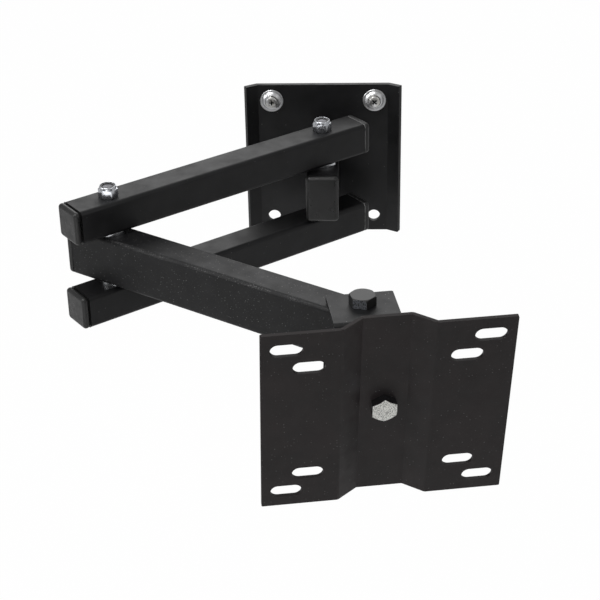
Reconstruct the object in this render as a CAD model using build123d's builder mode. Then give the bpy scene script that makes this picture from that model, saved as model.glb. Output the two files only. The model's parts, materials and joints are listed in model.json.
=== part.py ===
from build123d import *
import os
from math import cos, radians, sin, tan

os.makedirs("parts", exist_ok=True)

# Wall plate, a folded steel sheet whose back lies on the wall at Y = 0
wall_height = 102.0
wall_width = 99.2
wall_flat = 82.0
wall_sheet = 3.0
flange_angle = 30.0
wall_corner_r = 0.5
wall_hole_r = 4.0
wall_hole_span = 65.0
wall_hole_rise = 81.0
bend_r = 1.0

# Wall screws and their cup washers
screw_r = 2.0
screw_reach = 18.0
screw_point = 1.4
screw_head_r = 3.7
screw_head_t = 1.6
screw_cross = 4.4
screw_cross_w = 1.1
cup_r = 7.3
cup_t = 2.4
cup_wall = 0.8
cup_bore_r = 3.2
screw_gap = 0.15

# Tubes of the arms and of the stub
slim_w = 20.0
slim_h = 20.0
tall_w = 20.0
tall_h = 30.0
tube_wall = 1.5
tube_corner_r = 2.5
cap_proud = 4.5
cap_round = 1.9
cap_plug = 8.0
cap_gap = 0.15

# Places of the pivots and the pose of the arms at rest
pivot_out = 39.0
stub_past_pivot = 18.0
arm_angle = 37.6
arm_length = 151.0
arm_past_elbow = 23.0
arm_past_wall = 25.5
outer_angle = 32.6
outer_length = 170.0
outer_past_elbow = 22.2
outer_past_head = 7.0
outer_plug = 1.2
outer_cap_proud = 2.0
outer_cap_round = 0.8

# Arm pivot hardware
pin_r = 3.0
pin_gap = 0.05
pin_af = 10.0
pin_head_r = 5.2
pin_head_h = 2.4
pin_head_round = 1.5
pin_nut_h = 5.0
nut_collar_h = 1.8
nut_collar_inset = 0.15
nut_ring_t = 1.4
nut_ring_w = 1.1
nut_ring_down = 0.3
hex_turned_in = 0.2
spacer_t = 2.0
spacer_r = 8.5
bush_r = 5.0

# Head bracket, one sheet bent over the end of the outer arm
head_turn = 9.0
head_tilt = 10.8
head_sheet = 2.5
ear_width = 36.0
ear_behind = 11.0
ear_front = 22.0
ear_corner_r = 1.0
web_width = 46.0
web_shoulder = 5.2
web_below_bolt = 16.0
web_corner_r = 5.0
friction_washer_t = 1.0
head_bolt_r = 4.0
head_af = 13.0
head_bolt_h = 5.3
head_bolt_turn = -13.0
head_washer_t = 1.6
head_washer_r = 8.4
head_bush_r = 5.5

# Screen plate, a folded sheet with a channel down its middle
plate_width = 130.4
plate_height = 121.0
plate_sheet = 2.0
plate_corner_r = 0.8
channel_depth = 7.8
channel_floor = 25.0
channel_mouth = 47.4
plate_bolt_drop = 26.5
plate_bolt_side = 6.8
plate_bolt_turn = 30.0
slot_length = 16.8
slot_width = 8.0
outer_slot_x = 51.9
outer_slot_y = 50.0
inner_slot_x = 40.4
inner_slot_y = 37.5
plate_nut_h = 6.5
plate_spacer_t = 10.1
plate_spacer_r = 9.5

# Levels and directions worked out from the sizes above
arm_level = -wall_hole_rise / 2
upper_base = arm_level + tall_h / 2 + spacer_t
lower_top = arm_level - tall_h / 2 - spacer_t
upper_top = upper_base + slim_h
lower_base = lower_top - slim_h
up = Vector(0, 0, 1)
arm_way = Vector(-cos(radians(arm_angle)), -sin(radians(arm_angle)), 0)
outer_way = Vector(cos(radians(outer_angle)), -sin(radians(outer_angle)), 0)
wall_pivot = Vector(0, -wall_sheet - pivot_out, 0)
elbow_pivot = wall_pivot + arm_way * arm_length
head_pivot = elbow_pivot + outer_way * outer_length
head_right = Vector(cos(radians(head_turn)), sin(radians(head_turn)), 0)
head_front = Vector(sin(radians(head_turn)), -cos(radians(head_turn)), 0)
face_out = head_front * cos(radians(head_tilt)) - up * sin(radians(head_tilt))
ear_base = arm_level + tall_h / 2 + friction_washer_t
ear_top = ear_base + head_sheet
bend_line = head_pivot + head_front * ear_front + up * ear_top
face_down = Vector(0, 0, 0) - head_front * sin(radians(head_tilt)) - up * cos(radians(head_tilt))
bolt_along = (ear_top - arm_level + plate_bolt_drop) / cos(radians(head_tilt))
web_seat = bend_line + face_down * bolt_along + head_right * plate_bolt_side
plate_seat = web_seat + face_out * plate_spacer_t


def finish(piece, name):
    piece.part.label = name
    export_step(piece.part, f"parts/{name}.step")


# The plane across a tube, with the sketch's Y upwards and its Z along the way given
def across(point, level, way):
    side = up.cross(way)
    return Plane(origin=(point.X, point.Y, level), x_dir=side, z_dir=way)


# A flat seat at a point and level, facing up or down
def seat_at(point, level, facing=1):
    return Plane(origin=(point.X, point.Y, level), x_dir=(1, 0, 0), z_dir=(0, 0, facing))


# Outline of a bent sheet from the points along one face, its thickness to their left
def sheet_outline(face, thickness):
    points = [Vector(*point) for point in face]
    runs = [(points[i + 1] - points[i]).normalized() for i in range(len(points) - 1)]
    other = []
    for i, point in enumerate(points):
        before = runs[max(i - 1, 0)]
        after = runs[min(i, len(runs) - 1)]
        push = Vector(-before.Y - after.Y, before.X + after.X) * (thickness / (1 + before.dot(after)))
        other.append(point + push)
    return points, other


# Corners of a sketch that lie on any of the points given
def corners_at(sketch, points):
    near = [(point.X, point.Y) for point in points]
    return sketch.vertices().filter_by(
        lambda corner: any(abs(corner.X - x) + abs(corner.Y - y) < 0.01 for x, y in near)
    )


# Bends get the inner radius on the side that closes and that radius plus the sheet on the other
def round_bends(sketch, face, other, thickness, closing):
    for i, side in enumerate(closing, start=1):
        inner, outer = (face[i], other[i]) if side == "face" else (other[i], face[i])
        fillet(corners_at(sketch, [inner]), bend_r)
        fillet(corners_at(sketch, [outer]), bend_r + thickness)


# Wall plate
flange_run = wall_width / 2 - wall_sheet * sin(radians(flange_angle)) - wall_flat / 2
flange_rise = flange_run * tan(radians(flange_angle))
wall_face, wall_back = sheet_outline(
    [
        (-wall_flat / 2 - flange_run, -wall_sheet - flange_rise),
        (-wall_flat / 2, -wall_sheet),
        (wall_flat / 2, -wall_sheet),
        (wall_flat / 2 + flange_run, -wall_sheet - flange_rise),
    ],
    wall_sheet,
)
wall_bottom = arm_level - wall_height / 2
with BuildPart() as wall_plate:
    with BuildSketch(Plane.XY.offset(wall_bottom)) as wall_profile:
        with BuildLine():
            Polyline(*wall_face, *reversed(wall_back), close=True)
        make_face()
        round_bends(wall_profile, wall_face, wall_back, wall_sheet, ["face", "face"])
    extrude(amount=wall_height)
    flange_ends = wall_plate.faces().filter_by(GeomType.PLANE).sort_by(Axis.X)
    corner_edges = flange_ends[0].edges() + flange_ends[-1].edges()
    fillet(corner_edges.filter_by(lambda edge: edge.length < 2 * wall_sheet), wall_corner_r)
    with Locations(Plane(origin=(0, -wall_sheet, arm_level), x_dir=(1, 0, 0), z_dir=(0, -1, 0))):
        with GridLocations(wall_hole_span, wall_hole_rise, 2, 2):
            Hole(wall_hole_r)
finish(wall_plate, "wall_plate")


# Cup washer with a dished seat, and a cross recess screw in it
def cup_washer(name, x):
    rim = Plane(origin=(x, -wall_sheet, 0), x_dir=(1, 0, 0), z_dir=(0, 0, 1))
    with BuildPart() as cup:
        with BuildSketch(rim):
            with BuildLine():
                Polyline(
                    (cup_bore_r, 0),
                    (cup_r, 0),
                    (cup_r, -cup_wall),
                    (screw_head_r + cup_wall, -cup_t),
                    (screw_head_r + screw_gap, -cup_t),
                    (screw_head_r + screw_gap, -cup_wall),
                    (cup_bore_r, -cup_wall),
                    close=True,
                )
            make_face()
        revolve(axis=Axis((x, 0, 0), (0, 1, 0)))
    finish(cup, name)


def wall_screw(name, x):
    face = Plane(origin=(x, -wall_sheet - cup_wall, 0), x_dir=(1, 0, 0), z_dir=(0, -1, 0))
    with BuildPart() as screw:
        with BuildSketch(face):
            Circle(screw_head_r)
        extrude(amount=screw_head_t + cup_t - cup_wall)
        fillet(screw.edges().group_by(Axis.Y)[0], screw_head_t / 2)
        with BuildSketch(face):
            Circle(screw_r)
        extrude(amount=-(cup_wall + wall_sheet + screw_reach))
        chamfer(screw.edges().group_by(Axis.Y)[-1], screw_point)
        with BuildSketch(face.offset(screw_head_t + cup_t - cup_wall)):
            Rectangle(screw_cross, screw_cross_w)
            Rectangle(screw_cross_w, screw_cross)
        extrude(amount=-screw_head_t, mode=Mode.SUBTRACT)
    finish(screw, name)


for side_name, side in (("left", -1), ("right", 1)):
    cup_washer(f"cup_washer_{side_name}", side * wall_hole_span / 2)
    wall_screw(f"wall_screw_{side_name}", side * wall_hole_span / 2)


# Rectangular tube along a way from a start point, drilled through its height at the pivots
def tube(name, start, way, level, length, width, height, bores):
    with BuildPart() as body:
        with BuildSketch(across(start, level, way)):
            RectangleRounded(width, height, tube_corner_r)
            RectangleRounded(
                width - 2 * tube_wall, height - 2 * tube_wall, tube_corner_r - tube_wall, mode=Mode.SUBTRACT
            )
        extrude(amount=length)
        for point, radius in bores:
            with Locations(seat_at(point, level + height / 2)):
                Hole(radius)
    finish(body, name)


# Moulded end cap: a pillowed face as large as the tube and a plug inside it
def end_cap(name, tip, way, level, width, height, proud, rounding, plug):
    face = across(tip, level, way)
    inside = 2 * (tube_wall + cap_gap)
    with BuildPart() as cap:
        with BuildSketch(face):
            RectangleRounded(width, height, tube_corner_r)
        extrude(amount=proud)
        outer_faces = cap.faces().sort_by(Axis((0, 0, 0), tuple(way)))
        fillet(outer_faces[-1].edges(), rounding)
        with BuildSketch(face):
            RectangleRounded(width - inside, height - inside, tube_corner_r - tube_wall)
        extrude(amount=-plug)
    finish(cap, name)


stub_way = Vector(0, -1, 0)
stub_start = Vector(0, -wall_sheet, 0)
stub_length = pivot_out + stub_past_pivot
pin_bore = pin_r + pin_gap
head_bore = head_bolt_r + pin_gap
tube("stub_tube", stub_start, stub_way, arm_level, stub_length, tall_w, tall_h, [(wall_pivot, pin_bore)])
end_cap(
    "stub_cap",
    stub_start + stub_way * stub_length,
    stub_way,
    arm_level,
    tall_w,
    tall_h,
    cap_proud,
    cap_round,
    cap_plug,
)

# Upper and lower arms, each with a cap at both ends
arm_start = wall_pivot - arm_way * arm_past_wall
arm_tip = elbow_pivot + arm_way * arm_past_elbow
arm_span = arm_past_wall + arm_length + arm_past_elbow
for arm_name, arm_mid in (("upper_arm", upper_base + slim_h / 2), ("lower_arm", lower_base + slim_h / 2)):
    arm_bores = [(wall_pivot, pin_bore), (elbow_pivot, pin_bore)]
    tube(arm_name, arm_start, arm_way, arm_mid, arm_span, slim_w, slim_h, arm_bores)
    for end_name, tip, way in (("wall_cap", arm_start, -arm_way), ("elbow_cap", arm_tip, arm_way)):
        end_cap(
            f"{arm_name}_{end_name}", tip, way, arm_mid, slim_w, slim_h, cap_proud, cap_round, cap_plug
        )

# Outer arm
outer_start = elbow_pivot - outer_way * outer_past_elbow
outer_tip = head_pivot + outer_way * outer_past_head
outer_span = outer_past_elbow + outer_length + outer_past_head
outer_bores = [(elbow_pivot, pin_bore), (head_pivot, head_bore)]
tube("outer_arm", outer_start, outer_way, arm_level, outer_span, tall_w, tall_h, outer_bores)
end_cap(
    "outer_arm_elbow_cap",
    outer_start,
    -outer_way,
    arm_level,
    tall_w,
    tall_h,
    cap_proud,
    cap_round,
    cap_plug,
)
end_cap(
    "outer_arm_head_cap",
    outer_tip,
    outer_way,
    arm_level,
    tall_w,
    tall_h,
    outer_cap_proud,
    outer_cap_round,
    outer_plug,
)


# Round ring standing on a seat
def ring(name, seat, outer, inner, thickness):
    with BuildPart() as washer:
        with BuildSketch(seat):
            Circle(outer)
            Circle(inner, mode=Mode.SUBTRACT)
        extrude(amount=thickness)
    finish(washer, name)


# Hexagon standing on a seat, with its corners turned off at the far end
def hexagon(seat, across_flats, height, turn=0):
    corner = across_flats / 2 / cos(radians(30))
    turned = across_flats / 2 - hex_turned_in
    drop = (corner - turned) * tan(radians(30))
    side = Plane(origin=seat.origin, x_dir=seat.x_dir, z_dir=Vector(0, 0, 0) - seat.y_dir)
    with BuildPart() as blank:
        with BuildSketch(seat):
            RegularPolygon(across_flats / 2, 6, major_radius=False, rotation=turn)
        extrude(amount=height)
        with BuildSketch(side):
            with BuildLine():
                Polyline((0, 0), (corner, 0), (corner, height - drop), (turned, height), (0, height), close=True)
            make_face()
        revolve(axis=Axis(seat.origin, seat.z_dir), mode=Mode.INTERSECT)
    return blank.part


# Hexagon head on a seat, its shank going back through the seat
def hex_bolt(name, seat, radius, across_flats, head_height, reach, turn):
    head = hexagon(seat, across_flats, head_height, turn)
    with BuildPart() as bolt:
        add(head)
        with BuildSketch(seat):
            Circle(radius)
        extrude(amount=-reach)
    finish(bolt, name)


# Low domed head under the seat, its shank going up through the seat
def domed_bolt(name, seat, radius, head_radius, head_height, rounding, reach):
    with BuildPart() as bolt:
        with BuildSketch(seat):
            Circle(head_radius)
        extrude(amount=head_height)
        fillet(bolt.faces().sort_by(Axis((0, 0, 0), tuple(seat.z_dir)))[-1].edges(), rounding)
        with BuildSketch(seat):
            Circle(radius)
        extrude(amount=-reach)
    finish(bolt, name)


# Lock nut with a round collar that holds a nylon ring
def lock_nut(name, seat, radius, across_flats, height):
    collar_r = across_flats / 2 - nut_collar_inset
    ring_r = radius + nut_ring_w
    ring_floor = height + nut_collar_h - nut_ring_t
    blank = hexagon(seat, across_flats, height)
    with BuildPart() as nut:
        add(blank)
        with BuildSketch(seat):
            Circle(collar_r)
        extrude(amount=height + nut_collar_h)
        with BuildSketch(seat):
            Circle(radius + pin_gap)
        extrude(amount=height + nut_collar_h, mode=Mode.SUBTRACT)
        with BuildSketch(seat.offset(ring_floor)):
            Circle(ring_r)
        extrude(amount=nut_ring_t, mode=Mode.SUBTRACT)
    finish(nut, name)
    ring(f"{name}_ring", seat.offset(ring_floor), ring_r - pin_gap, radius + pin_gap, nut_ring_t - nut_ring_down)


# Pivot of the arm pair: low bolt head below, spacers beside the middle tube, lock nut on top
pin_grip = upper_top - lower_base + pin_nut_h + nut_collar_h - nut_ring_t / 2
for pivot_name, pivot in (("wall_pivot", wall_pivot), ("elbow", elbow_pivot)):
    below = seat_at(pivot, lower_base, -1)
    domed_bolt(f"{pivot_name}_bolt", below, pin_r, pin_head_r, pin_head_h, pin_head_round, pin_grip)
    ring(f"{pivot_name}_lower_spacer", seat_at(pivot, lower_top), spacer_r, pin_bore, spacer_t)
    ring(f"{pivot_name}_upper_spacer", seat_at(pivot, upper_base, -1), spacer_r, pin_bore, spacer_t)
    lock_nut(f"{pivot_name}_nut", seat_at(pivot, upper_top), pin_r, pin_af, pin_nut_h)
    bush_seat = seat_at(pivot, arm_level - tall_h / 2 + tube_wall)
    ring(f"{pivot_name}_bush", bush_seat, bush_r, pin_bore, tall_h - 2 * tube_wall)

# Swivel of the head: the bolt holds the ear down on the arm and screws into a bush inside the tube
swivel_seat = seat_at(head_pivot, arm_level - tall_h / 2 + tube_wall)
ring("head_bush", swivel_seat, head_bush_r, head_bore, tall_h - 2 * tube_wall)
arm_roof = seat_at(head_pivot, arm_level + tall_h / 2)
ring("head_friction_washer", arm_roof, head_washer_r, head_bore, friction_washer_t)
swivel_reach = head_sheet + friction_washer_t + tall_h - tube_wall
swivel_top = seat_at(head_pivot, ear_top)
hex_bolt("head_bolt", swivel_top, head_bolt_r, head_af, head_bolt_h, swivel_reach, head_bolt_turn)

# Head bracket: the ear and its bend from a side profile, and the wider web below
side_view = Plane(origin=(head_pivot.X, head_pivot.Y, 0), x_dir=head_front, z_dir=Vector(0, 0, 0) - head_right)
web_plane = Plane(origin=web_seat, x_dir=head_right, z_dir=face_out)
web_top = bolt_along - web_shoulder
bend_drop = 2 * web_shoulder + web_corner_r
ear_outer, ear_inner = sheet_outline(
    [
        (ear_front - bend_drop * sin(radians(head_tilt)), ear_top - bend_drop * cos(radians(head_tilt))),
        (ear_front, ear_top),
        (-ear_behind, ear_top),
    ],
    head_sheet,
)
with BuildPart() as head_bracket:
    with BuildSketch(side_view) as ear_profile:
        with BuildLine():
            Polyline(*ear_outer, *reversed(ear_inner), close=True)
        make_face()
        round_bends(ear_profile, ear_outer, ear_inner, head_sheet, ["other"])
    extrude(amount=ear_width / 2, both=True)
    ear_back = head_bracket.faces().sort_by(Axis((0, 0, 0), tuple(head_front)))[0]
    fillet(ear_back.edges().filter_by(Axis.Z), ear_corner_r)
    with BuildSketch(web_plane):
        with Locations((-plate_bolt_side, (web_top - web_below_bolt) / 2)):
            RectangleRounded(web_width, web_top + web_below_bolt, web_corner_r)
    extrude(amount=-head_sheet)
    with Locations(seat_at(head_pivot, ear_top)):
        Hole(head_bore, depth=head_sheet)
    with Locations(web_plane):
        Hole(head_bore, depth=head_sheet)
finish(head_bracket, "head_bracket")

# Screen plate: its channel floor seats on the web, its wings stand forward with slots for the screen
plate_up = face_out.cross(head_right)
plate_foot = plate_seat - plate_up * (plate_height / 2)
seat_plane = web_plane.offset(plate_spacer_t)
profile_plane = Plane(origin=plate_foot, x_dir=head_right, z_dir=plate_up)
wing_front = channel_depth + plate_sheet
plate_face, plate_back = sheet_outline(
    [
        (-plate_width / 2, -wing_front),
        (-channel_mouth / 2, -wing_front),
        (-channel_floor / 2, -plate_sheet),
        (channel_floor / 2, -plate_sheet),
        (channel_mouth / 2, -wing_front),
        (plate_width / 2, -wing_front),
    ],
    plate_sheet,
)
with BuildPart() as screen_plate:
    with BuildSketch(profile_plane) as plate_profile:
        with BuildLine():
            Polyline(*plate_face, *reversed(plate_back), close=True)
        make_face()
        round_bends(
            plate_profile, plate_face, plate_back, plate_sheet, ["other", "face", "face", "other"]
        )
    extrude(amount=plate_height)
    fillet(screen_plate.edges().filter_by(Axis(plate_seat, face_out)), plate_corner_r)
    with BuildSketch(seat_plane.offset(wing_front)):
        with GridLocations(2 * outer_slot_x, 2 * outer_slot_y, 2, 2):
            SlotOverall(slot_length, slot_width)
        with GridLocations(2 * inner_slot_x, 2 * inner_slot_y, 2, 2):
            SlotOverall(slot_length, slot_width)
    extrude(amount=-wing_front, mode=Mode.SUBTRACT)
    with Locations(seat_plane.offset(plate_sheet)):
        Hole(head_bore, depth=plate_sheet)
finish(screen_plate, "screen_plate")

# Screen plate bolt through the channel and the web, held by a lock nut behind
bolt_seat = seat_plane.offset(plate_sheet)
ring("plate_spacer", web_plane, plate_spacer_r, head_bore, plate_spacer_t)
stack = plate_sheet + plate_spacer_t + head_sheet + head_washer_t
plate_grip = stack + plate_nut_h + nut_collar_h / 2
hex_bolt("plate_bolt", bolt_seat, head_bolt_r, head_af, head_bolt_h, plate_grip, plate_bolt_turn)
web_rear = Plane(
    origin=web_seat - face_out * head_sheet, x_dir=head_right, z_dir=Vector(0, 0, 0) - face_out
)
ring("plate_nut_washer", web_rear, head_washer_r, head_bore, head_washer_t)
lock_nut("plate_nut", web_rear.offset(head_washer_t), head_bolt_r, head_af, plate_nut_h)
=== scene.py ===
import json
from math import cos, radians, sin

import bpy
from mathutils import Matrix, Vector


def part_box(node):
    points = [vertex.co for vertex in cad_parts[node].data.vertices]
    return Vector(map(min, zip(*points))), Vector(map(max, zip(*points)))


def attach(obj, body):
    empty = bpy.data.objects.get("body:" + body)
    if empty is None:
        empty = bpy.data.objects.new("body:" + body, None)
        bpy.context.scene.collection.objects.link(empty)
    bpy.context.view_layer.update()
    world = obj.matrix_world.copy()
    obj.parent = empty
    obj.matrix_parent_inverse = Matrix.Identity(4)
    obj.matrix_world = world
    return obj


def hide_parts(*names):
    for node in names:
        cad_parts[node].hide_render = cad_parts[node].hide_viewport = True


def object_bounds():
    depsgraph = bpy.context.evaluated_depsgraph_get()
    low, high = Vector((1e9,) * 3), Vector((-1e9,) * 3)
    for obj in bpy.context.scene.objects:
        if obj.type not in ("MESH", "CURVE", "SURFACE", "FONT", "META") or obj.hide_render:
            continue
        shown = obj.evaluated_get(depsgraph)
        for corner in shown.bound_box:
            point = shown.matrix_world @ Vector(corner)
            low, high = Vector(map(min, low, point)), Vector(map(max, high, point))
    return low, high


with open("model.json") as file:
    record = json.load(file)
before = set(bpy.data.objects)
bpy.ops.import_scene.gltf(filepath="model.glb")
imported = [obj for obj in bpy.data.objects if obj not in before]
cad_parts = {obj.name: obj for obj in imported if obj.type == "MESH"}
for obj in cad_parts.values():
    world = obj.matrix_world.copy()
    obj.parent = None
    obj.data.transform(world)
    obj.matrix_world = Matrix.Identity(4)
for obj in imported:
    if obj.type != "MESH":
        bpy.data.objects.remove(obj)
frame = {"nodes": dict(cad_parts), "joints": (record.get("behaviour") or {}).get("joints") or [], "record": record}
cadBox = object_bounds()
mm = 0.001
nodes = frame["nodes"]
joints = {joint["name"]: joint for joint in frame["joints"]}
bodyOf = {node: body for body, group in frame["record"]["behaviour"]["bodies"].items() for node in group}


# camera, matched to the photograph

cameraSet = {
    "place": (0.01805, -0.97269, 0.39806),
    "yaw": -2.07,
    "pitch": 29.22,
    "roll": -1.12,
    "lens": 98.75,
}


def makeCamera():
    yaw, pitch, roll = (radians(cameraSet[key]) for key in ("yaw", "pitch", "roll"))
    forward = Vector((sin(yaw) * cos(pitch), cos(yaw) * cos(pitch), -sin(pitch)))
    level = Vector((cos(yaw), -sin(yaw), 0))
    upright = level.cross(forward)
    right = level * cos(roll) + upright * sin(roll)
    top = upright * cos(roll) - level * sin(roll)
    bpy.ops.object.camera_add(location=cameraSet["place"])
    camera = bpy.context.object
    turn = Matrix((right, top, -forward)).transposed()
    camera.rotation_euler = turn.to_euler()
    camera.data.lens = cameraSet["lens"]
    camera.data.sensor_width = 36
    camera.data.clip_start = 0.01
    bpy.context.scene.camera = camera


makeCamera()
bpy.context.scene.view_settings.view_transform = "Standard"
print("camera ready")


# node helpers for the materials

def newMaterial(name):
    material = bpy.data.materials.new(name)
    material.use_nodes = True
    tree = material.node_tree
    shader = tree.nodes["Principled BSDF"]
    return material, tree, shader


# link each socket given, and set each plain value
def feed(tree, node, inputs):
    for key, value in inputs.items():
        socket = node.inputs[key]
        if isinstance(value, bpy.types.NodeSocket):
            tree.links.new(value, socket)
        else:
            socket.default_value = value


def addNode(tree, kind, inputs=None, **settings):
    node = tree.nodes.new(kind)
    for key, value in settings.items():
        setattr(node, key, value)
    feed(tree, node, inputs or {})
    return node


def objectSpace(tree):
    return addNode(tree, "ShaderNodeTexCoord").outputs["Object"]


def noise(tree, space, scale, detail=3.0, rough=0.5):
    return addNode(
        tree, "ShaderNodeTexNoise", {"Vector": space, "Scale": scale, "Detail": detail, "Roughness": rough}
    ).outputs["Fac"]


def remap(tree, value, low, high, newLow=0.0, newHigh=1.0):
    return addNode(
        tree,
        "ShaderNodeMapRange",
        {"Value": value, "From Min": low, "From Max": high, "To Min": newLow, "To Max": newHigh},
    ).outputs["Result"]


# noise of (scale, detail, roughness) spread between two of its levels
def patches(tree, space, grain, levels, newLow=0.0, newHigh=1.0):
    return remap(tree, noise(tree, space, *grain), *levels, newLow, newHigh)


def maths(tree, operation, first, second):
    return addNode(tree, "ShaderNodeMath", {0: first, 1: second}, operation=operation).outputs[0]


def dotWith(tree, vector, way):
    return addNode(
        tree, "ShaderNodeVectorMath", {0: vector, 1: way}, operation="DOT_PRODUCT"
    ).outputs["Value"]


def blendColour(tree, factor, first, second):
    return addNode(tree, "ShaderNodeMix", {0: factor, 6: first, 7: second}, data_type="RGBA").outputs[2]


def bump(tree, height, strength, distance):
    return addNode(
        tree, "ShaderNodeBump", {"Height": height, "Strength": strength, "Distance": distance}
    ).outputs["Normal"]


def grey(value, tint=(1.0, 1.0, 1.0)):
    return (value * tint[0], value * tint[1], value * tint[2], 1.0)


# light flecks caught in the coat: one small dot in some cells
def flecks(tree, space, cell, size, share):
    cells = addNode(tree, "ShaderNodeTexVoronoi", {"Vector": space, "Scale": 1 / cell}, feature="F1")
    dot = remap(tree, cells.outputs["Distance"], size, size * 0.45)
    pick = addNode(tree, "ShaderNodeSeparateColor", {"Color": cells.outputs["Color"]})
    chosen = remap(tree, pick.outputs["Red"], 1 - share, 1 - share * 0.5)
    return maths(tree, "MULTIPLY", dot, chosen)


# grain values are noise (scale, detail, roughness)
coatSet = {
    "base": 0.0056,
    "hazeBase": 0.0098,
    "tint": (0.99, 0.99, 1.08),
    "cloudGrain": (55, 4, 0.5),
    "cloudLevels": (0.35, 0.68),
    "specular": 0.36,
    "roughness": 0.42,
    "wearGrain": (130, 4, 0.5),
    "smoother": 0.05,
    "rougher": 0.07,
    "peelGrain": (900, 2, 0.5),
    "peel": 0.10,
    "peelDeep": 0.25 * mm,
    "fleckCell": 1.7 * mm,
    "fleckSize": 0.18,
    "fleckColour": 0.24,
    "fleckTint": (1.0, 0.99, 0.98),
    "fineCell": 0.45,
    "fineSize": 1.1,
    "fineShare": 0.55,
    "fineStrength": 0.55,
    "rubAndHighlightGrain": (1700, 2, 0.5),
    "rubAndHighlightLevels": (0.56, 0.64),
    "rubPatchGrain": (90, 3, 0.5),
    "rubPatchLevels": (0.42, 0.56),
    "rubStrength": 0.6,
}
middleLevels = (0.3, 0.7)


# coat rubbed off along a tube's upper edge; edge is (side's place, side's way, top, reach)
def rubbedEdge(tree, space, edge):
    near, way, top, reach = edge
    across = dotWith(tree, space, way)
    height = addNode(tree, "ShaderNodeSeparateXYZ", {"Vector": space}).outputs["Z"]
    band = maths(
        tree, "MULTIPLY", remap(tree, across, near - reach, near - reach * 0.3),
        remap(tree, height, top - reach * 1.1, top - reach * 0.2),
    )
    worn = patches(tree, space, coatSet["rubAndHighlightGrain"], coatSet["rubAndHighlightLevels"])
    patch = patches(tree, space, coatSet["rubPatchGrain"], coatSet["rubPatchLevels"])
    rubbed = maths(tree, "MULTIPLY", maths(tree, "MULTIPLY", band, worn), patch)
    return maths(tree, "MULTIPLY", rubbed, coatSet["rubStrength"])


# satin black powder coat; share says how many cells carry a light fleck
def coatMaterial(name, share, edge=None, roughness=coatSet["roughness"], glint=1.0, tint=coatSet["tint"]):
    material, tree, shader = newMaterial(name)
    space = objectSpace(tree)
    cloud = patches(tree, space, coatSet["cloudGrain"], coatSet["cloudLevels"])
    base = blendColour(tree, cloud, grey(coatSet["base"], tint), grey(coatSet["hazeBase"], tint))
    cell, size = coatSet["fleckCell"], coatSet["fleckSize"]
    dots = flecks(tree, space, cell, size, share)
    fine = flecks(
        tree, space, cell * coatSet["fineCell"], size * coatSet["fineSize"], share * coatSet["fineShare"]
    )
    marks = maths(tree, "MAXIMUM", dots, maths(tree, "MULTIPLY", fine, coatSet["fineStrength"]))
    if edge:
        marks = maths(tree, "MAXIMUM", marks, rubbedEdge(tree, space, edge))
    fleckColour = grey(coatSet["fleckColour"] * glint, coatSet["fleckTint"])
    smooth, rough = roughness - coatSet["smoother"], roughness + coatSet["rougher"]
    peel = noise(tree, space, *coatSet["peelGrain"])
    feed(tree, shader, {
        "Base Color": blendColour(tree, marks, base, fleckColour),
        "Roughness": patches(tree, space, coatSet["wearGrain"], middleLevels, smooth, rough),
        "Normal": bump(tree, peel, coatSet["peel"], coatSet["peelDeep"]),
        "Specular IOR Level": coatSet["specular"],
    })
    return material


plasticSet = {
    "base": 0.014,
    "light": 0.022,
    "cloudGrain": (90, 3, 0.5),
    "cloudLevels": (0.35, 0.7),
    "smooth": 0.23,
    "rough": 0.46,
    "wearGrain": (240, 3, 0.5),
    "grain": (1400, 2, 0.5),
    "grainStrength": 0.12,
    "grainDeep": 0.15 * mm,
    # pale colour of the painted highlight line along the cap's flange edge
    "seamHighlight": 0.42,
    "rubAndHighlightGrain": (320, 3, 0.5),
    "rubAndHighlightLevels": (0.38, 0.55),
    "seamHighlightLeast": 0.35,
}


# moulded plastic; seam is (way, level, reach) of a pale line where the cap meets its tube, a painted highlight
# standing in for the light caught by the cap's flange edge
def plasticMaterial(name, seam=None):
    material, tree, shader = newMaterial(name)
    space = objectSpace(tree)
    cloud = patches(tree, space, plasticSet["cloudGrain"], plasticSet["cloudLevels"])
    colour = blendColour(tree, cloud, grey(plasticSet["base"]), grey(plasticSet["light"]))
    if seam:
        # painted highlight: a pale line along the cap's flange edge, broken up by noise
        way, level, reach = seam
        away = maths(tree, "ABSOLUTE", maths(tree, "SUBTRACT", dotWith(tree, space, way), level), 0)
        line = remap(tree, away, reach, reach * 0.4)
        broken = patches(
            tree, space, plasticSet["rubAndHighlightGrain"], plasticSet["rubAndHighlightLevels"], plasticSet["seamHighlightLeast"]
        )
        colour = blendColour(tree, maths(tree, "MULTIPLY", line, broken), colour, grey(plasticSet["seamHighlight"]))
    smooth, rough = plasticSet["smooth"], plasticSet["rough"]
    grain = noise(tree, space, *plasticSet["grain"])
    feed(tree, shader, {
        "Base Color": colour,
        "Roughness": patches(tree, space, plasticSet["wearGrain"], middleLevels, smooth, rough),
        "Normal": bump(tree, grain, plasticSet["grainStrength"], plasticSet["grainDeep"]),
    })
    return material


zincSet = {
    "bright": (0.90, 0.91, 0.93, 1),
    "dull": (0.66, 0.67, 0.70, 1),
    "roughness": 0.13,
    "rougher": 0.16,
    "blotGrain": (300, 4, 0.5),
    "wearGrain": (900, 3, 0.5),
    "grain": (1800, 2, 0.5),
    "grainStrength": 0.07,
    "grainDeep": 0.08 * mm,
}


def zincMaterial(name, dull=zincSet["dull"], roughness=zincSet["roughness"], bright=zincSet["bright"]):
    material, tree, shader = newMaterial(name)
    space = objectSpace(tree)
    blot = patches(tree, space, zincSet["blotGrain"], middleLevels)
    grain = noise(tree, space, *zincSet["grain"])
    rough = roughness + zincSet["rougher"]
    feed(tree, shader, {
        "Base Color": blendColour(tree, blot, bright, dull),
        "Roughness": patches(tree, space, zincSet["wearGrain"], middleLevels, roughness, rough),
        "Normal": bump(tree, grain, zincSet["grainStrength"], zincSet["grainDeep"]),
        "Metallic": 1.0,
    })
    return material


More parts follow.
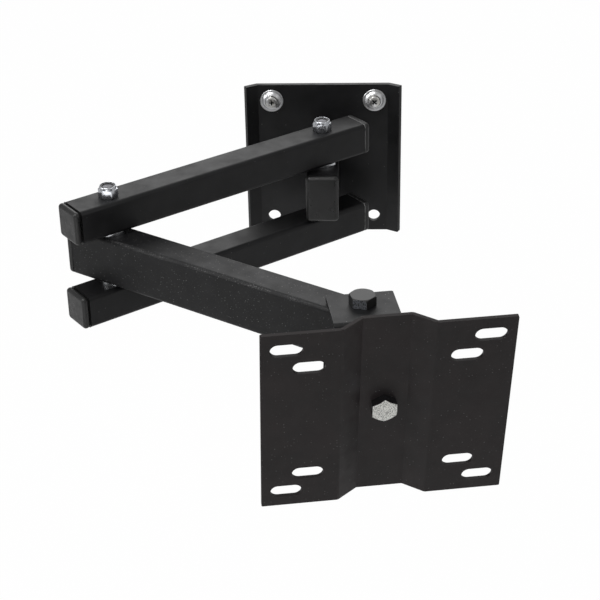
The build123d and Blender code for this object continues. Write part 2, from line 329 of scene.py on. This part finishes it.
crustSet = {
    "grain": (1700, 4, 0.7),
    "pitLevels": (0.42, 0.50),
    "pit": (0.30, 0.30, 0.28, 1),
    "pale": (0.95, 0.95, 0.91, 1),
    "side": (0.30, 0.31, 0.33, 1),
    "frontLevels": (0.35, 0.7),
    "sideRoughness": 0.16,
    "frontRoughness": 0.42,
    "frontMetal": 0.1,
    "strength": 0.45,
    "deep": 0.2 * mm,
}


# galvanised bolt: a pale crust on the outer face, smoother and darker sides
def galvanisedMaterial(name, way):
    material, tree, shader = newMaterial(name)
    coords = addNode(tree, "ShaderNodeTexCoord")
    front = remap(tree, dotWith(tree, coords.outputs["Normal"], way), *crustSet["frontLevels"])
    crust = noise(tree, coords.outputs["Object"], *crustSet["grain"])
    pits = remap(tree, crust, *crustSet["pitLevels"])
    pale = blendColour(tree, pits, crustSet["pit"], crustSet["pale"])
    feed(tree, shader, {
        "Base Color": blendColour(tree, front, crustSet["side"], pale),
        "Roughness": remap(tree, front, 0, 1, crustSet["sideRoughness"], crustSet["frontRoughness"]),
        "Metallic": remap(tree, front, 0, 1, 1.0, crustSet["frontMetal"]),
        "Normal": bump(tree, crust, crustSet["strength"], crustSet["deep"]),
    })
    return material


rubbedSet = {
    "flatLevels": (0.93, 0.97),
    "crustGrain": (1300, 4, 0.6),
    "crustLevels": (0.40, 0.56),
    "dark": 0.02,
    "bare": (0.42, 0.44, 0.48, 1),
    "darkRoughness": 0.33,
    "bareRoughness": 0.28,
    "bareMetal": 0.8,
    "grain": (1300, 3, 0.5),
    "strength": 0.3,
    "deep": 0.1 * mm,
}


# dark bolt with one flat rubbed bright; way is that flat's outward direction
def rubbedBoltMaterial(name, way):
    material, tree, shader = newMaterial(name)
    coords = addNode(tree, "ShaderNodeTexCoord")
    space = coords.outputs["Object"]
    flat = remap(tree, dotWith(tree, coords.outputs["Normal"], way), *rubbedSet["flatLevels"])
    crust = patches(tree, space, rubbedSet["crustGrain"], rubbedSet["crustLevels"])
    rubbed = maths(tree, "MULTIPLY", flat, crust)
    grain = noise(tree, space, *rubbedSet["grain"])
    feed(tree, shader, {
        "Base Color": blendColour(tree, rubbed, grey(rubbedSet["dark"]), rubbedSet["bare"]),
        "Roughness": remap(tree, rubbed, 0, 1, rubbedSet["darkRoughness"], rubbedSet["bareRoughness"]),
        "Metallic": maths(tree, "MULTIPLY", rubbed, rubbedSet["bareMetal"]),
        "Normal": bump(tree, grain, rubbedSet["strength"], rubbedSet["deep"]),
    })
    return material


nylonSet = {
    "grain": (600, 3, 0.5),
    "darker": 0.7,
    "lighter": 1.2,
    "tint": (0.95, 0.98, 1.0),
    "rough": 0.42,
}


def nylonMaterial(name, value):
    material, tree, shader = newMaterial(name)
    cloud = noise(tree, objectSpace(tree), *nylonSet["grain"])
    dark = grey(value * nylonSet["darker"])
    light = grey(value * nylonSet["lighter"], nylonSet["tint"])
    feed(tree, shader, {"Base Color": blendColour(tree, cloud, dark, light), "Roughness": nylonSet["rough"]})
    return material


# places and directions taken from the joints
tubeWide = 20 * mm
armPivot = Vector(joints["wall_swing"]["pos_m"])
elbow = Vector(joints["elbow_fold"]["pos_m"])
head = Vector(joints["head_swivel"]["pos_m"])
armWay = (elbow - armPivot).normalized()
armWay.z = 0
outerWay = head - elbow
outerWay.z = 0
outerWay.normalize()
outerSide = Vector((outerWay.y, -outerWay.x, 0))
outerNear = outerSide.dot(elbow) + tubeWide / 2
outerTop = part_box("outer_arm")[1].z
rubbedWay = Vector((-0.225, -0.974, 0))
faceOut = Vector(joints["plate_roll"]["axis"])

materials = {
    "wallCoat": coatMaterial("wallPlateCoat", 0.05, glint=0.6),
    "armCoat": coatMaterial("armCoat", 0.05, glint=0.5),
    "outerCoat": coatMaterial(
        "outerArmCoat", 0.85, edge=(outerNear, tuple(outerSide), outerTop, 2.4 * mm), roughness=0.45,
        glint=0.62,
    ),
    "headCoat": coatMaterial("headCoat", 0.2),
    "screenCoat": coatMaterial("screenPlateCoat", 0.3, roughness=0.44, glint=0.5, tint=(1.4, 0.9, 0.92)),
    "cap": plasticMaterial("capPlastic"),
    "zinc": zincMaterial("brightZinc"),
    "nutZinc": zincMaterial("nutZinc", (0.66, 0.68, 0.72, 1), 0.18, (0.88, 0.90, 0.94, 1)),
    "boltZinc": zincMaterial("boltZinc", (0.14, 0.14, 0.15, 1), 0.38, (0.26, 0.26, 0.28, 1)),
    "screwZinc": zincMaterial("screwZinc", (0.70, 0.68, 0.62, 1), 0.24),
    "cupZinc": zincMaterial("cupZinc", (0.72, 0.72, 0.72, 1), 0.28),
    "recess": nylonMaterial("recessShade", 0.02),
    "galvanised": galvanisedMaterial("galvanisedCrust", tuple(faceOut)),
    "rubbedBolt": rubbedBoltMaterial("rubbedBolt", rubbedWay),
    "steel": zincMaterial("plainSteel", (0.30, 0.30, 0.31, 1), 0.34),
    "ring": nylonMaterial("nutRing", 0.03),
    "washerNylon": nylonMaterial("frictionNylon", 0.05),
}
print("materials ready")


# modelling helpers

def deselectAll():
    if bpy.context.object and bpy.context.object.mode != "OBJECT":
        bpy.ops.object.mode_set(mode="OBJECT")
    bpy.ops.object.select_all(action="DESELECT")


def activate(piece):
    deselectAll()
    piece.select_set(True)
    bpy.context.view_layer.objects.active = piece


def applyPlace(piece):
    activate(piece)
    bpy.ops.object.transform_apply(location=True, rotation=True, scale=True)


def applyModifier(piece, kind, **settings):
    activate(piece)
    modifier = piece.modifiers.new(kind.lower(), kind)
    for key, value in settings.items():
        setattr(modifier, key, value)
    bpy.ops.object.modifier_apply(modifier=modifier.name)


def selectFaces(piece, test):
    bpy.ops.object.mode_set(mode="EDIT")
    bpy.ops.mesh.select_mode(type="FACE")
    bpy.ops.mesh.select_all(action="DESELECT")
    bpy.ops.object.mode_set(mode="OBJECT")
    for face in piece.data.polygons:
        face.select = bool(test(face))
    bpy.ops.object.mode_set(mode="EDIT")


def selectEdges(piece, test):
    bpy.ops.object.mode_set(mode="EDIT")
    bpy.ops.mesh.select_mode(type="EDGE")
    bpy.ops.mesh.select_all(action="DESELECT")
    bpy.ops.object.mode_set(mode="OBJECT")
    points = piece.data.vertices
    for edge in piece.data.edges:
        edge.select = bool(test(points[edge.vertices[0]].co, points[edge.vertices[1]].co))
    bpy.ops.object.mode_set(mode="EDIT")


def smoothByAngle(piece, degrees):
    activate(piece)
    bpy.ops.object.shade_smooth_by_angle(angle=radians(degrees))


def dress(piece, name, body, material, replaced):
    piece.name = name
    piece.data.name = name
    piece.data.materials.clear()
    piece.data.materials.append(material)
    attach(piece, body)
    if replaced:
        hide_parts(*replaced)
    return piece


# a CAD node's own shape, merged, with its edges eased so they catch the light;
# a sheet with holes keeps its triangles, and the others have their flat faces joined up
def easedCopy(node, material, ease, holed, angle=32):
    deselectAll()
    source = nodes[node]
    piece = bpy.data.objects.new(node + "_finish", source.data.copy())
    bpy.context.scene.collection.objects.link(piece)
    activate(piece)
    bpy.ops.object.mode_set(mode="EDIT")
    bpy.ops.mesh.select_all(action="SELECT")
    bpy.ops.mesh.remove_doubles(threshold=0.002 * mm)
    if not holed:
        bpy.ops.mesh.dissolve_limited(angle_limit=radians(0.5))
    bpy.ops.object.mode_set(mode="OBJECT")
    applyModifier(
        piece, "BEVEL", width=ease, segments=2, limit_method="ANGLE", angle_limit=radians(angle)
    )
    smoothByAngle(piece, angle)
    applyModifier(piece, "WEIGHTED_NORMAL", keep_sharp=True, weight=100)
    return dress(piece, node + "_finish", bodyOf[node], material, [node])


# tubes, plates and bracket

easedSet = {
    "wall_plate": ("wallCoat", 0.35 * mm),
    "stub_tube": ("armCoat", 0.2 * mm),
    "upper_arm": ("armCoat", 0.2 * mm),
    "lower_arm": ("armCoat", 0.2 * mm),
    "outer_arm": ("outerCoat", 0.2 * mm),
    "head_bracket": ("headCoat", 0.3 * mm),
    "screen_plate": ("screenCoat", 0.25 * mm),
    "plate_spacer": ("headCoat", 0.4 * mm),
    "elbow_bolt": ("boltZinc", 0.35 * mm),
    "wall_pivot_bolt": ("boltZinc", 0.35 * mm),
    "elbow_lower_spacer": ("zinc", 0.2 * mm),
    "elbow_upper_spacer": ("zinc", 0.2 * mm),
    "wall_pivot_lower_spacer": ("zinc", 0.2 * mm),
    "wall_pivot_upper_spacer": ("zinc", 0.2 * mm),
    "head_bolt": ("rubbedBolt", 0.3 * mm),
    "plate_bolt": ("galvanised", 0.3 * mm),
}
holedSheets = ("wall_plate", "head_bracket", "screen_plate")
for node, (finish, ease) in easedSet.items():
    easedCopy(node, materials[finish], ease, node in holedSheets)
print("tubes and plates ready")


# turned pieces, modelled standing on Z and then set on their seats

# a profile of (radius, height) points, built point by point and spun about Z
def lathe(profile, steps=48):
    deselectAll()
    bpy.ops.mesh.primitive_plane_add(size=mm, location=(0, 0, 0))
    piece = bpy.context.object
    bpy.ops.object.mode_set(mode="EDIT")
    bpy.ops.mesh.select_mode(type="VERT")
    bpy.ops.mesh.select_all(action="SELECT")
    bpy.ops.mesh.merge(type="CENTER")
    radius, height = profile[0]
    bpy.ops.transform.translate(value=(radius * mm, 0, height * mm))
    for nextRadius, nextHeight in profile[1:]:
        step = ((nextRadius - radius) * mm, 0, (nextHeight - height) * mm)
        bpy.ops.mesh.extrude_vertices_move(TRANSFORM_OT_translate={"value": step})
        radius, height = nextRadius, nextHeight
    bpy.ops.mesh.select_all(action="SELECT")
    bpy.ops.mesh.spin(steps=steps, angle=radians(360), center=(0, 0, 0), axis=(0, 0, 1))
    bpy.ops.mesh.select_all(action="SELECT")
    bpy.ops.mesh.remove_doubles(threshold=0.001 * mm)
    bpy.ops.mesh.normals_make_consistent(inside=False)
    bpy.ops.object.mode_set(mode="OBJECT")
    return piece


def cutWith(piece, tool, operation):
    applyModifier(piece, "BOOLEAN", object=tool, operation=operation, solver="EXACT")
    bpy.data.objects.remove(tool)


def joinTo(piece, other):
    deselectAll()
    other.select_set(True)
    piece.select_set(True)
    bpy.context.view_layer.objects.active = piece
    bpy.ops.object.join()


# stand a piece made on Z at a place, its top pointing along the way given
def standAt(piece, place, way, across):
    way = Vector(way)
    across = Vector(across)
    turn = Matrix((across, way.cross(across), way)).transposed()
    piece.rotation_euler = turn.to_euler()
    piece.location = place
    applyPlace(piece)


cupSet = {"outer": 7.3, "rim": 0.8, "ridge": 2.4, "ridgeOut": 4.5, "ridgeIn": 3.9, "bore": 3.2}


def cupWasher(node, place):
    inner, outer, ridge = cupSet["ridgeIn"], cupSet["outer"], cupSet["ridge"]
    rim, crest = cupSet["rim"], (cupSet["ridgeOut"] + cupSet["ridgeIn"]) / 2
    profile = [
        (cupSet["bore"], 0),
        (outer - 0.25, 0),
        (outer, 0.2),
        (outer, rim * 0.75),
        (outer - 0.2, rim),
        (outer - 1.3, rim * 1.12),
        (cupSet["ridgeOut"] + 0.5, ridge - 0.45),
        (cupSet["ridgeOut"], ridge - 0.12),
        (crest, ridge),
        (inner + 0.05, ridge - 0.1),
        (inner, ridge - 0.3),
        (inner, rim),
        (cupSet["bore"], rim),
        (cupSet["bore"], 0),
    ]
    piece = lathe(profile, 64)
    smoothByAngle(piece, 40)
    standAt(piece, place, (0, -1, 0), (1, 0, 0))
    return dress(piece, node + "_turned", "wall", materials["cupZinc"], [node])


# helical ridge between two heights, from one pitch of its profile
def threadRidge(core, outer, pitch, low, high):
    deselectAll()
    bpy.ops.mesh.primitive_plane_add(size=mm, location=(0, 0, 0))
    piece = bpy.context.object
    bpy.ops.object.mode_set(mode="EDIT")
    bpy.ops.mesh.select_all(action="SELECT")
    bpy.ops.mesh.merge(type="CENTER")
    bpy.ops.transform.translate(value=(core * mm, 0, low * mm))
    for across, along in ((outer - core, 0.35 * pitch), (0, 0.12 * pitch), (core - outer, 0.35 * pitch)):
        step = (across * mm, 0, along * mm)
        bpy.ops.mesh.extrude_vertices_move(TRANSFORM_OT_translate={"value": step})
    bpy.ops.object.mode_set(mode="OBJECT")
    turns = int((high - low) / pitch) - 1
    applyModifier(
        piece, "SCREW", axis="Z", angle=radians(360) * turns, screw_offset=pitch * turns * mm,
        steps=24 * turns, render_steps=24 * turns,
    )
    return piece


screwSet = {
    "head": 3.7,
    "seat": 0.8,
    "top": 4.0,
    "round": 0.8,
    "core": 1.5,
    "outer": 1.98,
    "pitch": 1.4,
    "pointLong": 1.4,
    "pointRadius": 0.6,
    "threadStart": 1.6,
    "threadEnd": 0.2,
    "overlap": 0.05,
    "recess": 4.4,
    "recessWide": 1.1,
    "recessDeep": 1.6,
    "recessFrom": 0.3,
    "taper": 0.62,
}


# screw with a cross recess in its head and a helical thread behind the plate
def wallScrew(node, place, tip, cross):
    top, head, soft = screwSet["top"], screwSet["head"], screwSet["round"]
    profile = [
        (0, top),
        (head - soft, top - 0.12),
        (head - soft * 0.45, top - 0.3),
        (head - soft * 0.1, top - soft * 0.75),
        (head, top - soft * 1.4),
        (head, screwSet["seat"]),
        (screwSet["core"], screwSet["seat"]),
        (screwSet["core"], tip + screwSet["pointLong"]),
        (screwSet["pointRadius"], tip),
        (0, tip),
    ]
    piece = lathe(profile, 40)
    for turned in (cross, cross + 90):
        deselectAll()
        size = (screwSet["recess"] * mm, screwSet["recessWide"] * mm, 2 * screwSet["recessDeep"] * mm)
        bpy.ops.mesh.primitive_cube_add(size=1, location=(0, 0, top * mm), scale=size)
        cutter = bpy.context.object
        applyPlace(cutter)
        selectFaces(cutter, lambda face: face.normal.z < -0.9)
        bpy.ops.transform.resize(value=(screwSet["taper"], screwSet["taper"], 1))
        bpy.ops.object.mode_set(mode="OBJECT")
        cutter.rotation_euler.z = radians(turned)
        applyPlace(cutter)
        cutWith(piece, cutter, "DIFFERENCE")
    reach = screwSet["recess"] / 2 * mm
    hollow = [
        face.index
        for face in piece.data.polygons
        if face.center.z < (top - screwSet["recessFrom"]) * mm and face.center.z > screwSet["seat"] * mm
        and face.center.xy.length < reach + 0.01 * mm
    ]
    core, low, high = screwSet["core"] - screwSet["overlap"], screwSet["threadStart"], screwSet["threadEnd"]
    thread = threadRidge(core, screwSet["outer"], screwSet["pitch"], tip + low, high)
    joinTo(piece, thread)
    smoothByAngle(piece, 35)
    standAt(piece, place, (0, -1, 0), (1, 0, 0))
    dress(piece, node + "_threaded", "wall", materials["screwZinc"], [node])
    piece.data.materials.append(materials["recess"])
    for index in hollow:
        piece.data.polygons[index].material_index = 1


nutSet = {
    "flats": 10.0,
    "height": 5.0,
    "collar": 4.85,
    "sunk": 0.5,
    "top": 6.8,
    "lip": 4.2,
    "lipDeep": 1.2,
    "bore": 3.05,
    "past": 1,
    "chamfer": 0.75,
    "ease": 0.12,
}


# lock nut: chamfered hexagon and a rolled collar round the insert
def lockNut(node, place, way, across, sizes):
    corner = sizes["flats"] / 2 / cos(radians(30))
    height, collar, top, lip = sizes["height"], sizes["collar"], sizes["top"], sizes["lip"]
    # the hexagon stands past the turned body's ends: with both in one plane, the cut can lose the nut
    depth = height + 2 * sizes["past"]
    deselectAll()
    bpy.ops.mesh.primitive_cylinder_add(
        vertices=6, radius=corner * mm, depth=depth * mm, location=(0, 0, height / 2 * mm),
        rotation=(0, 0, radians(30)),
    )
    piece = bpy.context.object
    applyPlace(piece)
    drop = (corner - sizes["flats"] / 2) * sizes["chamfer"]
    turned = lathe([
        (0, 0),
        (sizes["flats"] / 2 - 0.1, 0),
        (corner + 0.05, drop * 0.6),
        (corner + 0.05, height - drop),
        (sizes["flats"] / 2 - 0.05, height),
        (0, height),
    ])
    cutWith(piece, turned, "INTERSECT")
    ring = lathe([
        (0, height - sizes["sunk"]),
        (collar, height - sizes["sunk"]),
        (collar, top - 0.9),
        (collar - 0.1, top - 0.45),
        (collar - 0.3, top - 0.12),
        (lip + 0.15, top),
        (lip, top - 0.1),
        (lip, top - sizes["lipDeep"]),
        (0, top - sizes["lipDeep"]),
    ])
    cutWith(piece, ring, "UNION")
    wide, past = sizes["bore"], sizes["past"]
    bore = lathe([(0, -past), (wide, -past), (wide, top + past), (0, top + past)])
    cutWith(piece, bore, "DIFFERENCE")
    applyModifier(
        piece, "BEVEL", width=sizes["ease"] * mm, segments=2, limit_method="ANGLE", angle_limit=radians(35)
    )
    smoothByAngle(piece, 35)
    standAt(piece, place, way, across)
    return dress(piece, node + "_chamfered", bodyOf[node], materials["nutZinc"], [node])


for side, sign in (("left", -1), ("right", 1)):
    low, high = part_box("wall_screw_" + side)
    seat = Vector(((low.x + high.x) / 2, -3 * mm, (low.z + high.z) / 2))
    cupWasher("cup_washer_" + side, seat)
    wallScrew("wall_screw_" + side, seat, (seat.y - high.y) / mm, 25 + 20 * sign)
for name in ("elbow", "wall_pivot"):
    low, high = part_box(name + "_nut")
    seat = Vector(((low.x + high.x) / 2, (low.y + high.y) / 2, low.z))
    lockNut(name + "_nut", seat, (0, 0, 1), (1, 0, 0), nutSet)
print("turned pieces ready")


# end caps

capSet = {
    "gap": 0.4 * mm,
    "corner": 2.5 * mm,
    "neckIn": 1.7 * mm,
    "neckLong": 3.0 * mm,
}


# moulded cap: a raised face inside a sloping border, and a neck that goes into the tube
def endCap(node, tip, way, width, height, proud, border, rise, soft, finish):
    deselectAll()
    flange = proud - rise - capSet["gap"]
    middle = -capSet["gap"] - flange / 2
    bpy.ops.mesh.primitive_cube_add(size=1, location=(0, middle, 0), scale=(width, flange, height))
    piece = bpy.context.object
    applyPlace(piece)
    selectEdges(piece, lambda a, b: abs(a.x - b.x) + abs(a.z - b.z) < 1e-6)
    bpy.ops.mesh.bevel(offset=capSet["corner"], segments=5, profile=0.5)
    selectFaces(piece, lambda face: face.normal.y < -0.9)
    if border:
        bpy.ops.mesh.inset(thickness=border)
        bpy.ops.transform.translate(value=(0, -rise, 0))
    selectFaces(piece, lambda face: face.normal.y > 0.9)
    bpy.ops.mesh.inset(thickness=capSet["neckIn"])
    bpy.ops.mesh.extrude_region_move(TRANSFORM_OT_translate={"value": (0, capSet["neckLong"], 0)})
    bpy.ops.object.mode_set(mode="OBJECT")
    applyModifier(
        piece, "BEVEL", width=soft, segments=5, limit_method="ANGLE", angle_limit=radians(22),
        use_clamp_overlap=False,
    )
    smoothByAngle(piece, 50)
    applyModifier(piece, "WEIGHTED_NORMAL", keep_sharp=True, weight=100)
    turn = Vector((0, -1, 0)).rotation_difference(way).to_euler()
    piece.rotation_euler = turn
    piece.location = tip
    applyPlace(piece)
    return dress(piece, node + "_moulded", bodyOf[node], finish, [node])


# the middle of a tube's end: where its axis, through a pivot, meets the cap's seat
def tubeEnd(node, pivot, way, proud):
    low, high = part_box(node)
    middle = (low + high) / 2
    reach = max(
        (Vector(point.co) - pivot).dot(way) for point in nodes[node].data.vertices
    )
    tip = pivot + way * (reach - proud)
    tip.z = middle.z
    return tip


# node, a point on the tube's axis, the way out, then height, how proud, border, rise and softness in mm
capRows = [
    ("stub_cap", armPivot, Vector((0, -1, 0)), 30, 4.5, 1.7, 1.5, 0.6),
    ("upper_arm_elbow_cap", elbow, armWay, 20, 4.5, 0, 0, 1.9),
    ("upper_arm_wall_cap", armPivot, -armWay, 20, 4.5, 1.6, 1.3, 0.8),
    ("lower_arm_elbow_cap", elbow, armWay, 20, 4.5, 0, 0, 1.9),
    ("lower_arm_wall_cap", armPivot, -armWay, 20, 4.5, 1.6, 1.3, 0.8),
    ("outer_arm_elbow_cap", elbow, -outerWay, 30, 4.5, 1.6, 1.3, 0.8),
    ("outer_arm_head_cap", head, outerWay, 30, 2.0, 0.8, 0.5, 0.4),
]
# caps listed here get the painted highlight line along their seam
seamHighlightCaps = ("stub_cap", "upper_arm_wall_cap", "lower_arm_wall_cap")
for node, pivot, way, height, proud, border, rise, soft in capRows:
    tip = tubeEnd(node, pivot, way, proud * mm)
    seam = (tuple(way), tip.dot(way) + capSet["gap"], 0.35 * mm)
    finish = plasticMaterial(node + "_plastic", seam) if node in seamHighlightCaps else materials["cap"]
    endCap(
        node, tip, way, tubeWide, height * mm, proud * mm, border * mm, rise * mm, soft * mm, finish
    )
print("caps ready")


# stage and light

stageSet = {
    "floorDrop": 0.34,
    "floorSize": 8.0,
    "floorColour": 0.8,
    "glow": 0.985,
    "skyFill": 0.33,
    "skySeen": 1.0,
    "lampAim": (0.0, -0.15, -0.04),
}
# each lamp's place, power and size
lampRows = {
    "keyLamp": ((-0.45, -0.45, 1.15), 7.6, 0.7),
    "fillLamp": ((-1.3, -0.45, 0.45), 3.4, 0.5),
    "sideLamp": ((1.0, -0.9, 0.6), 0.8, 0.5),
    "lowLamp": ((-0.25, -1.3, -0.3), 1.2, 0.5),
    "backLamp": ((0.1, 1.5, 0.95), 10.0, 1.6),
}


def seenRays(tree):
    path = addNode(tree, "ShaderNodeLightPath")
    return maths(tree, "MAXIMUM", path.outputs["Is Camera Ray"], path.outputs["Is Transmission Ray"])


def makeFloor():
    deselectAll()
    level = cadBox[0][2] - stageSet["floorDrop"]
    bpy.ops.mesh.primitive_plane_add(size=stageSet["floorSize"], location=(0, 0, level))
    floor = bpy.context.object
    floor.name = "studioFloor"
    applyPlace(floor)
    material, tree, shader = newMaterial("floorPale")
    seen = seenRays(tree)
    shader.inputs["Base Color"].default_value = grey(stageSet["floorColour"])
    shader.inputs["Roughness"].default_value = 0.9
    glow = addNode(tree, "ShaderNodeEmission", {"Color": grey(1.0), "Strength": 1.0})
    factor = maths(tree, "MULTIPLY", seen, stageSet["glow"])
    mix = addNode(tree, "ShaderNodeMixShader", {0: factor, 1: shader.outputs[0], 2: glow.outputs[0]})
    tree.links.new(mix.outputs[0], tree.nodes["Material Output"].inputs["Surface"])
    floor.data.materials.append(material)


def makeSky():
    world = bpy.data.worlds.new("studioSky")
    bpy.context.scene.world = world
    world.use_nodes = True
    tree = world.node_tree
    sky = tree.nodes["Background"]
    strength = remap(tree, seenRays(tree), 0, 1, stageSet["skyFill"], stageSet["skySeen"])
    sky.inputs["Color"].default_value = grey(1.0)
    tree.links.new(strength, sky.inputs["Strength"])


def softLamp(name, place, power, size, target):
    deselectAll()
    bpy.ops.object.light_add(type="AREA", location=place)
    lamp = bpy.context.object
    lamp.name = name
    lamp.data.energy = power
    lamp.data.size = size
    lamp.rotation_euler = (Vector(target) - Vector(place)).to_track_quat("-Z", "Y").to_euler()


makeFloor()
makeSky()
for name, (place, power, size) in lampRows.items():
    softLamp(name, place, power, size, stageSet["lampAim"])
print("stage ready")


# finish for the small CAD nodes that keep their own shape

plainSet = {
    "zinc": ("plate_nut", "plate_nut_washer"),
    "ring": ("wall_pivot_nut_ring", "elbow_nut_ring", "plate_nut_ring"),
    "steel": ("wall_pivot_bush", "elbow_bush", "head_bush"),
    "washerNylon": ("head_friction_washer",),
}
finishOf = {node: finish for finish, group in plainSet.items() for node in group}
turnedNodes = {"cup_washer_left", "cup_washer_right", "wall_screw_left", "wall_screw_right"}
turnedNodes |= {"elbow_nut", "wall_pivot_nut"}
replacedNodes = set(easedSet) | turnedNodes | {row[0] for row in capRows}
for node, source in nodes.items():
    if node not in replacedNodes:
        source.data.materials.clear()
        source.data.materials.append(materials[finishOf.get(node, "zinc")])
print("small nodes ready")
